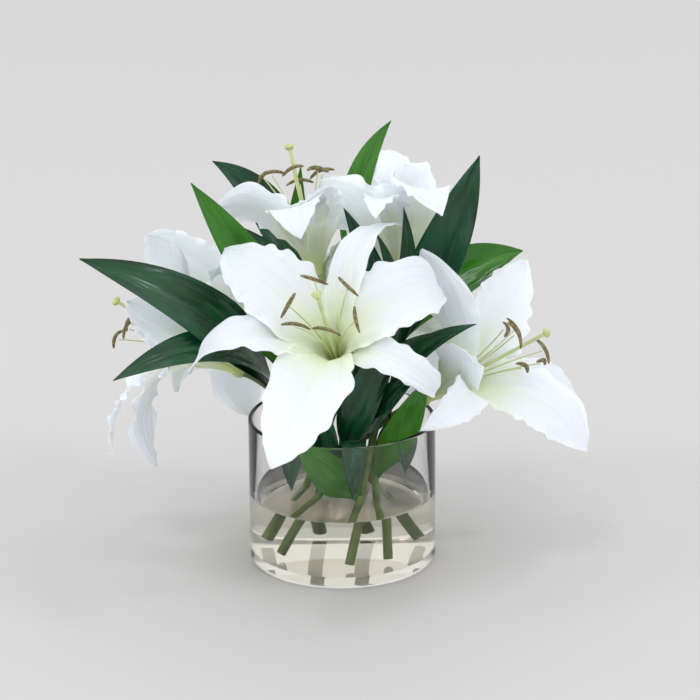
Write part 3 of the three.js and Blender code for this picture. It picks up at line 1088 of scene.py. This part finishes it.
@dataclass(frozen=True)
class Leaf:
    """One leaf: the share of its stem where it leaves, a place halfway, its tip and the way it faces.

    fold lifts its edges as a share of its breadth. crease rounds the fold along the rib, and crease_depth
    sets it back down by as much.
    """

    at: float
    mid: Place
    tip: Place
    half: float
    face: Place
    tone: Tone = Tone.DARK
    peak: float = 0.42
    thickness: float = 1.0
    fold: float = 0.28
    root: float = 0.24
    rows: int = 36
    columns: int = 12
    crease: float = 0.006
    crease_depth: float = 0.077
    wave: float = 0.035
    cycles: float = 1.6
    sides_apart: float = 2.0
    edge_thinning: float = 0.5

    def add_to(self, draft: Draft, stem: list[np.ndarray], tag: float) -> None:
        """Adds the leaf to its stem.

        Args:
            draft: The leafy stem's mesh.
            stem: The stem's control points.
            tag: A number of its own.
        """
        root = bezier(stem, self.at)
        mid, end = np.array(self.mid, float), np.array(self.tip, float)
        before, after = np.linalg.norm(mid - root), np.linalg.norm(end - mid)
        share = before / (before + after)
        pull = 1 / (2 * share * (1 - share))
        control = mid * pull - root * pull * (1 - share) ** 2 - end * pull * share**2
        rib = evenly([root, control, end], self.rows)
        tangents = np.gradient(rib, axis=0)
        v = np.linspace(-1, 1, self.columns + 1)
        rows, normals = [], []
        for i, (place, tangent) in enumerate(zip(rib, tangents)):
            u = i / self.rows
            lead = unit(tangent)
            face = square_to(lead, np.array(self.face, float))
            side = np.cross(face, lead)
            width = self.half * breadth(u, self.peak, self.root)
            lift = self.fold * width * (np.sqrt(v**2 + self.crease) - self.crease_depth)
            swing = np.sin(2 * math.pi * self.cycles * u + tag + np.where(v > 0, self.sides_apart, 0.0))
            lift = lift + self.wave * width * v**2 * swing
            rows.append(place + (v * width)[:, None] * side + lift[:, None] * face)
            lean = self.fold * v / np.sqrt(v**2 + self.crease)
            tilt = face - lean[:, None] * side
            normals.append(tilt / np.linalg.norm(tilt, axis=1)[:, None])
        sheet = self.thickness * (1 - self.edge_thinning * np.abs(v) ** 2)
        thin = np.broadcast_to(sheet, (self.rows + 1, len(v)))
        draft.blade(np.array(rows), np.array(normals), thin, tag, 1 + list(Tone).index(self.tone))


@dataclass(frozen=True)
class LeafyStem:
    """One stem with its leaves. It crosses the bunch and rises to its bloom."""

    bloom: Bloom
    leaves: tuple[Leaf, ...]
    radius: float = 3.2
    foot_height: float = 13
    foot_ring: float = 45
    waist_ring: float = 24
    waist_height: float = 100
    neck: float = 45
    steps: int = 60
    foot_swell: float = 1.06
    taper: float = 0.2
    unevenness: float = 0.02
    uneven_turns: float = 37
    top_flare: float = 1.6
    flare_from: float = 0.94
    flare_over: float = 0.06

    def controls(self) -> list[np.ndarray]:
        """Finds the stem's curve.

        Returns:
            Its control points, from foot to bloom.
        """
        foot, waist = math.radians(self.bloom.foot), math.radians(self.bloom.waist)
        start = np.array(
            [self.foot_ring * math.cos(foot), self.foot_ring * math.sin(foot), self.foot_height]
        )
        middle = np.array(
            [self.waist_ring * math.cos(waist), self.waist_ring * math.sin(waist), self.waist_height]
        )
        end = self.bloom.origin - self.bloom.axis * (self.bloom.seat_below + GAP)
        return [start, middle, end - self.bloom.axis * self.neck, end]

    def build(self, finishes: list[bpy.types.Material]) -> None:
        """Makes the stem and its leaves as one piece.

        Args:
            finishes: The stem's material and the leaves' two.
        """
        draft = Draft()
        curve = self.controls()
        path = evenly(curve, self.steps)
        share = np.linspace(0, 1, len(path))
        uneven = self.unevenness * np.sin(share * self.uneven_turns + self.bloom.seed)
        radii = self.radius * (self.foot_swell - self.taper * share + uneven)
        radii = radii + self.top_flare * np.clip((share - self.flare_from) / self.flare_over, 0, 1) ** 2
        draft.tube(path, radii, 16, 0.0, 0)
        for number, leaf in enumerate(self.leaves):
            leaf.add_to(draft, curve, number * LEAF_TAG + self.bloom.seed)
        leafy_stem = draft.piece(f"leafy_stem_{self.bloom.name}", finishes)
        in_place(leafy_stem, [f"stem_{self.bloom.name}"])


# Name, two colours, scale of the speckles, roughness and relief in millimetres.
FILAMENT = SpeckledFinish("filament", (0.52, 0.60, 0.24), (0.66, 0.72, 0.38), 60.0, 0.45, 0.05)
ANTHER = SpeckledFinish("anther", (0.13, 0.100, 0.040), (0.30, 0.25, 0.12), 420.0, 0.85, 0.3)
STIGMA = SpeckledFinish("stigma", (0.50, 0.58, 0.20), (0.64, 0.70, 0.34), 240.0, 0.5, 0.2)
SEAT = SpeckledFinish("lily_seat", (0.38, 0.50, 0.16), (0.52, 0.62, 0.28), 90.0, 0.5, 0.1)
STEM = SpeckledFinish("stem_skin", (0.080, 0.140, 0.022), (0.140, 0.215, 0.045), 70.0, 0.42, 0.2)

BLOOMS = (
    Bloom(
        name="front", foot=154, waist=212, roll=50,
        base=(-2, -50, 182), aim=(-14, -67, 73), up=(0, 0, 1),
        petals=(
            {"turn": 10, "open": 75, "curl": 50, "sway": -10},
            {"turn": -20, "open": 70, "curl": 85, "length": 158, "sway": 25, "half": 19, "twist": 20},
            {"turn": 5, "open": 90, "curl": -10, "sway": -10, "half": 33},
            {"turn": 15, "open": 85, "curl": 115, "sway": 10, "half": 15},
            {"turn": 5, "open": 90, "curl": 85, "sway": 25, "half": 32},
            {"turn": 14, "open": 75, "curl": 80, "length": 160, "sway": -35, "half": 14},
        ),
        seed=11,
    ),
    Bloom(
        name="right", foot=204, waist=262, roll=-40,
        base=(67, 0, 135), aim=(86, -9, 51), up=(0, 0, 1),
        petals=(
            {"turn": -15, "open": 50, "curl": 15, "sway": -20, "twist": -30},
            {"turn": -10, "open": 75, "curl": 10, "length": 140, "half": 27, "twist": 90},
            {"turn": -30, "open": 60, "curl": 20, "length": 90, "half": 26, "twist": 60},
            {"turn": -45, "open": 100, "curl": 35, "length": 140, "sway": -15, "twist": 20},
            {"turn": -5, "open": 60, "curl": 35, "length": 160, "sway": 5, "half": 30, "twist": 50},
            {"turn": -30, "open": 55, "curl": 50, "length": 170, "sway": -5, "half": 14, "twist": 20},
        ),
        seed=12,
    ),
    Bloom(
        name="top_right", foot=276, waist=-26, roll=15,
        base=(49, 35, 221), aim=(8, 59, 80), up=(0, -1, 0),
        petals=(
            {**RUFFLED, "turn": -20, "open": 75, "curl": 85, "length": 145, "sway": 25, "half": 26},
            {"turn": 50, "open": 20, "curl": 30, "length": 140, "sway": 45},
            {"turn": 25, "open": 15, "curl": 50, "length": 155, "sway": 15, "half": 22},
            {**RUFFLED, "open": 20, "curl": 40, "length": 170, "sway": -5, "half": 22},
            {
                **RUFFLED, "turn": 35, "open": 50, "curl": 0, "length": 110, "sway": -30,
                "half": 30, "twist": 45,
            },
            {**RUFFLED, "turn": 20, "open": 90, "curl": 55, "length": 140, "sway": 15},
        ),
        seed=13,
        stamens=0.63,
    ),
    Bloom(
        name="back_right", foot=-46, waist=12, roll=50,
        base=(36, 80, 173), aim=(38, 92, 0), up=(0, 0, 1),
        petals=({"curl": 65, "length": 110}, BACK, BACK, BACK, BACK, BACK),
        seed=14,
    ),
    Bloom(
        name="back_left", foot=75, waist=105, roll=-60,
        base=(-54, 68, 157), aim=(-51, 85, 13), up=(0, 0, 1),
        petals=({"turn": 15, "length": 160}, BACK, BACK, BACK, BACK, BACK),
        seed=15,
    ),
    Bloom(
        name="top_left", foot=20, waist=100, roll=30,
        base=(-18, 42, 223), aim=(-20, 55, 81), up=(0, -1, 0),
        petals=(
            {"open": 60, "curl": 30, "length": 95, "half": 23, "sway": -10},
            {**SHORT, "turn": 30, "open": 90, "half": 15, "length": 60},
            {**SHORT, "length": 50},
            {**SHORT, "open": 90, "half": 12, "length": 50},
            {"turn": 15, "open": 50, "curl": 60, "length": 120, "sway": 45, "twist": 25},
            {"turn": 28, "open": 98, "curl": 55, "length": 140, "sway": 5, "half": 25, "cup": 35},
        ),
        seed=16,
    ),
    Bloom(
        name="left", foot=104, waist=162, roll=-60,
        base=(-83, 28, 151), aim=(-87, 11, 48), up=(0, 0, 1),
        petals=(
            {"turn": -10, "open": 40, "curl": 20, "length": 135, "sway": 5, "half": 20},
            {"turn": -15, "open": 60, "curl": -10, "length": 145, "sway": -20},
            {**RUFFLED, "turn": -25, "open": 60, "curl": 90, "length": 115, "half": 26},
            {**RUFFLED, "turn": 35, "curl": 50, "length": 165, "sway": 25, "half": 13},
            {**RUFFLED, "open": 90, "curl": 55, "length": 150, "half": 20, "twist": 35},
            {"turn": 25, "open": 85, "curl": 10, "length": 140, "sway": 20},
        ),
        seed=17,
    ),
)

FRESH = Tone.FRESH

# The leaves of each bloom's stem, by the Leaf fields in their order.
LEAVES = {
    "left": (
        Leaf(0.8, (-138, -52, 243), (-201, -60, 273), 24, (1, -7, 7)),
        Leaf(0.75, (-122, -64, 198), (-177, -74, 178), 18, (-1, -6, 7)),
        Leaf(0.22, (-33, 26, 83), (-39, 34, 104), 10, (-3, -9, 3)),
        Leaf(0.65, (-60, -28, 186), (-79, -32, 200), 9, (0, -6, 8), FRESH),
    ),
    "back_left": (
        Leaf(0.88, (-76, 108, 282), (-103, 102, 303), 16, (2, -9, 3), peak=0.6),
        Leaf(0.82, (-36, 134, 235), (-32, 144, 286), 12, (0, -9, 5), FRESH),
    ),
    "top_left": (
        Leaf(0.8, (-57, 24, 252), (-79, 20, 273), 9, (2, -6, 8)),
        Leaf(0.22, (7, 16, 102), (0, 4, 136), 11, (0, -9, 3)),
    ),
    "front": (
        Leaf(0.7, (-93, 2, 278), (-116, -3, 316), 20, (2, -8, 6), FRESH),
        Leaf(0.75, (39, -8, 246), (28, -8, 276), 8, (2, -9, 4)),
        Leaf(0.7, (27, -4, 239), (20, -4, 266), 13, (2, -9, 4)),
        Leaf(0.6, (-61, -38, 221), (-84, -40, 238), 10, (0, -6, 8), FRESH),
        Leaf(0.35, (-36, -36, 108), (-40, -42, 72), 10, (-2, -9, 3)),
    ),
    "back_right": (
        Leaf(0.92, (19, 112, 290), (42, 115, 332), 12, (-3, -8, 6), FRESH, 0.62),
        Leaf(0.6, (106, 74, 220), (148, 79, 232), 21, (-2, -8, 5), FRESH, 0.6),
        Leaf(0.22, (43, -23, 107), (68, -40, 165), 14, (2, -9, 4), FRESH),
        Leaf(0.25, (39, 15, 93), (55, 15, 114), 10, (3, -9, 3)),
        Leaf(0.3, (49, -15, 112), (50, -24, 78), 10, (2, -9, 3)),
    ),
    "top_right": (
        Leaf(0.8, (13, 30, 264), (3, 29, 285), 9, (0, -9, 5)),
        Leaf(0.7, (92, 20, 277), (110, 12, 332), 20, (-1, -9, 4)),
        Leaf(0.6, (54, -4, 248), (50, -6, 296), 9, (-2, -9, 4)),
        Leaf(0.18, (-11, -46, 90), (-36, -50, 118), 16, (-3, -9, 4), FRESH),
    ),
    "right": (
        Leaf(0.78, (71, -64, 202), (104, -92, 228), 11, (-2, -6, 6)),
        Leaf(0.6, (52, -40, 190), (74, -44, 205), 12, (-3, -6, 7)),
        Leaf(0.38, (35, -34, 187), (50, -36, 219), 14, (0, -8, 6)),
        Leaf(0.2, (-18, -38, 132), (-34, -42, 168), 12, (-2, -9, 3)),
        Leaf(0.45, (9, -42, 110), (8, -46, 66), 10, (1, -9, 3)),
        Leaf(0.5, (48, -36, 158), (68, -42, 179), 11, (-3, -7, 7)),
    ),
}


# ---- studio ----


@dataclass(frozen=True)
class Studio:
    """Pale floor, soft light and the camera.

    aim is where the lamps point. It and farthest, how far the camera sees, are in metres.
    """

    distance: float = 2942
    pitch: float = 19.3
    roll: float = 0.5
    aim_height: float = 175.6
    aim_right: float = 7.1
    lens: float = 190.2
    floor_span: float = 9000
    floor_gap: float = 0.1
    pale: Colour = (0.68, 0.665, 0.66)
    darker: float = 0.985
    sensor: float = 36
    farthest: float = 60
    aim: Place = (0, 0, 0.18)
    sky: Colour = (0.98, 0.99, 1.0)
    sky_strength: float = 0.92

    def camera(self) -> None:
        """Sets the camera in front, looking a little down."""
        data = bpy.data.cameras.new("camera")
        data.lens = self.lens
        data.sensor_width = self.sensor
        data.clip_end = self.farthest
        thing = bpy.data.objects.new("camera", data)
        pitch = math.radians(self.pitch)
        thing.location = (
            self.aim_right * MM,
            -self.distance * math.cos(pitch) * MM,
            (self.aim_height + self.distance * math.sin(pitch)) * MM,
        )
        tip = Euler((math.radians(90) - pitch, 0, 0)).to_matrix()
        roll = Euler((0, 0, -math.radians(self.roll))).to_matrix()
        thing.rotation_euler = (tip @ roll).to_euler()
        bpy.context.scene.collection.objects.link(thing)
        bpy.context.scene.camera = thing

    def floor(self) -> None:
        """Lays the floor."""
        half = self.floor_span / 2 * MM
        mesh = bpy.data.meshes.new("floor")
        down = -self.floor_gap * MM
        corners = [(-half, -half, down), (half, -half, down), (half, half, down), (-half, half, down)]
        mesh.from_pydata(corners, [], [(0, 1, 2, 3)])
        bench = Bench("pale_floor")
        cloud = bench.grain(bench.skin_place(), 1.2)
        darker = tuple(c * self.darker for c in self.pale)
        bench.set(Base_Color=bench.mix(cloud, self.pale, darker), Roughness=0.55, Specular_IOR_Level=0.3)
        mesh.materials.append(bench.material)
        thing = bpy.data.objects.new("floor", mesh)
        bpy.context.scene.collection.objects.link(thing)

    def lamp(self, name: str, place: Place, size: float, power: float) -> None:
        """Hangs a soft square lamp aimed at the flowers.

        Args:
            name: Its name.
            place: Where it hangs, in metres.
            size: Its side, in metres.
            power: Its power, in watts.
        """
        data = bpy.data.lights.new(name, "AREA")
        data.size = size
        data.energy = power
        thing = bpy.data.objects.new(name, data)
        thing.location = place
        aim = np.array(self.aim) - np.array(place)
        flat = math.hypot(aim[0], aim[1])
        thing.rotation_euler = (math.atan2(flat, -aim[2]), 0, math.atan2(-aim[0], aim[1]))
        bpy.context.scene.collection.objects.link(thing)

    def build(self) -> None:
        """Sets up the room."""
        world = bpy.data.worlds.new("studio_room")
        world.use_nodes = True
        back = world.node_tree.nodes["Background"]
        back.inputs["Color"].default_value = (*self.sky, 1)
        back.inputs["Strength"].default_value = self.sky_strength
        bpy.context.scene.world = world
        self.floor()
        self.camera()
        self.lamp("left_soft", (-3.4, -0.9, 2.9), size=0.8, power=17)
        self.lamp("right_soft", (3.0, -0.8, 2.9), size=0.5, power=20)
        self.lamp("top_soft", (-1.1, -0.8, 4.1), size=0.6, power=12)
        self.lamp("low_soft", (-2.0, -3.2, 0.7), size=1.6, power=6)


def main() -> None:
    """Builds the room, the vase, the stems and the blooms."""
    logging.basicConfig(level=logging.INFO, format="%(name)s: %(message)s")
    bpy.context.scene.view_settings.view_transform = "Standard"
    Studio().build()
    Vase().build()
    greens = [STEM.make(), *(LeafFinish(tone).make() for tone in Tone)]
    white = PetalFinish().make()
    for bloom in BLOOMS:
        LeafyStem(bloom, LEAVES[bloom.name]).build(greens)
        bloom.build(white)


if __name__ == "__main__":
    main()
